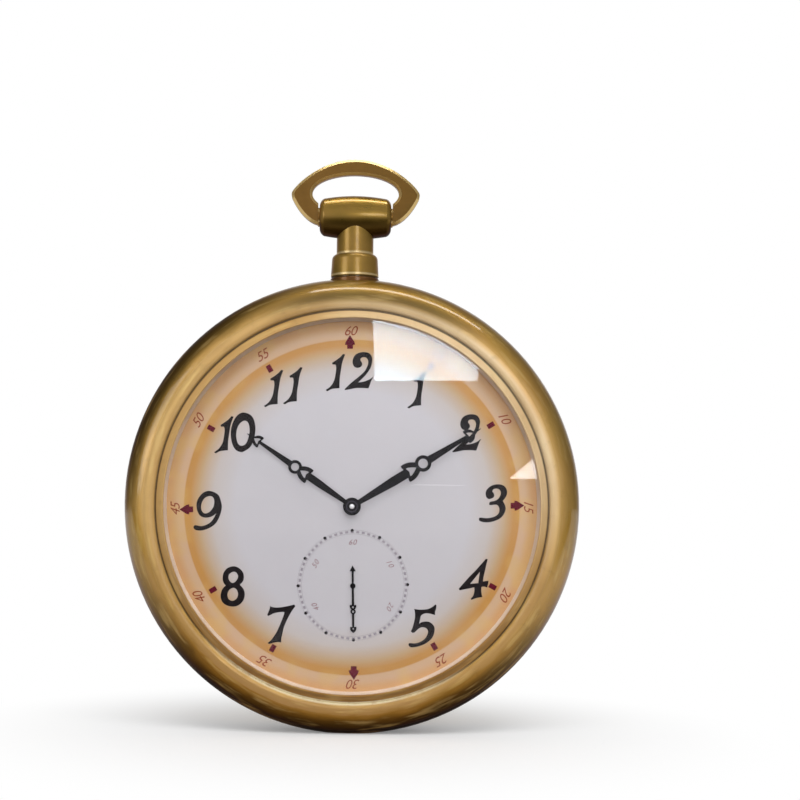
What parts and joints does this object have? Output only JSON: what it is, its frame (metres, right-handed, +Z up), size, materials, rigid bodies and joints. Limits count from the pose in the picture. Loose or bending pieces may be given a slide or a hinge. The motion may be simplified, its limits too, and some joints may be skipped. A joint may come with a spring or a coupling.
{
  "type": "giant pocket watch",
  "caption": "Oversized free-standing pocket watch for display: numbered dial under a domed crystal, geared open-work hands, and a crowned stem with a hinged bow.",
  "frame": {"origin": "middle of the flat foot, at floor level", "axes": "+Z up through the stem, the dial faces -Y, +X to the right of a viewer who faces the dial"},
  "size_m": [1.34, 0.29, 1.6958],
  "materials": {
    "case_gold": "moulded shell and turned pieces in metallic gold paint, semi-gloss",
    "bezel_gold": "paler metallic gold paint, semi-gloss",
    "ballast": "rough black",
    "gasket": "matt",
    "crystal": "clear moulded acrylic, glossy",
    "reflector": "pale satin paint",
    "dial": "printed sheet, lilac grey middle, orange band, peach border, dark numerals and maroon marks",
    "frame": "milled plate",
    "steel": "turned, bare",
    "brass": "cut plate, satin",
    "bronze": "sintered bush",
    "motor": "black painted can",
    "black_plastic": "moulded, matt",
    "hand_black": "black paint, satin",
    "bright_nut": "polished"
  },
  "bodies": {
    "case": {"case_band": "case_gold", "foot_weight": "ballast", "rear_cover": "case_gold", "cover_screws": "steel", "bezel_ring": "bezel_gold", "bezel_screws": "steel", "crystal_gasket": "gasket", "crystal": "crystal", "reflector_ring": "reflector", "dial_plate": "dial", "dial_studs": "steel", "dial_frame": "frame", "frame_brackets": "steel", "frame_bolts": "steel", "bead_ring": "case_gold", "stem_collar": "case_gold", "stem_neck": "case_gold", "crown_barrel": "case_gold", "stem_rod": "steel", "stem_nut": "steel", "backing_plate": "steel", "bow_pins": "steel", "bow_washers": "case_gold", "front_plate": "brass", "back_plate": "brass", "plate_pillars": "brass", "dial_spacers": "brass", "movement_bolts": "steel", "arbor_bushes": "bronze", "drive_motor": "motor", "motor_screws": "steel", "minute_stud": "steel", "seconds_motor": "black_plastic", "seconds_motor_screws": "steel", "battery_box": "black_plastic", "battery_screws": "steel", "battery_lid": "black_plastic"},
    "bow": {"bow": "case_gold"},
    "minute_train": {"centre_arbor": "steel", "drive_wheel": "brass", "cannon_pinion": "steel", "minute_hand": "hand_black", "hand_nut": "bright_nut"},
    "hour_train": {"hour_wheel": "brass", "hour_hand": "hand_black"},
    "minute_wheel": {"minute_wheel": "brass"},
    "motor_pinion": {"motor_pinion": "steel"},
    "seconds_train": {"seconds_arbor": "steel", "seconds_hand": "hand_black"}
  },
  "joints": [
    {"name": "bow_swing", "type": "hinge", "parent": "case", "child": "bow", "pos_m": [0, 0, 1.52479], "axis": [1, 0, 0], "range_deg": [-130, 130]},
    {"name": "minute_spin", "type": "hinge", "parent": "case", "child": "minute_train", "pos_m": [0, 0, 0.66579], "axis": [0, 1, 0], "continuous": true},
    {"name": "hour_spin", "type": "hinge", "parent": "case", "child": "hour_train", "pos_m": [0, 0, 0.66579], "axis": [0, 1, 0], "continuous": true},
    {"name": "minute_wheel_spin", "type": "hinge", "parent": "case", "child": "minute_wheel", "pos_m": [0.06, 0, 0.66579], "axis": [0, 1, 0], "continuous": true},
    {"name": "motor_spin", "type": "hinge", "parent": "case", "child": "motor_pinion", "pos_m": [0, 0, 0.72579], "axis": [0, 1, 0], "continuous": true},
    {"name": "seconds_spin", "type": "hinge", "parent": "case", "child": "seconds_train", "pos_m": [0.00547, 0, 0.43385], "axis": [0, 1, 0], "continuous": true}
  ],
  "couplings": [
    {"joint": "hour_spin", "follows": "minute_spin", "ratio": 0.083333},
    {"joint": "minute_wheel_spin", "follows": "minute_spin", "ratio": -0.33333},
    {"joint": "motor_spin", "follows": "minute_spin", "ratio": -4}
  ]
}
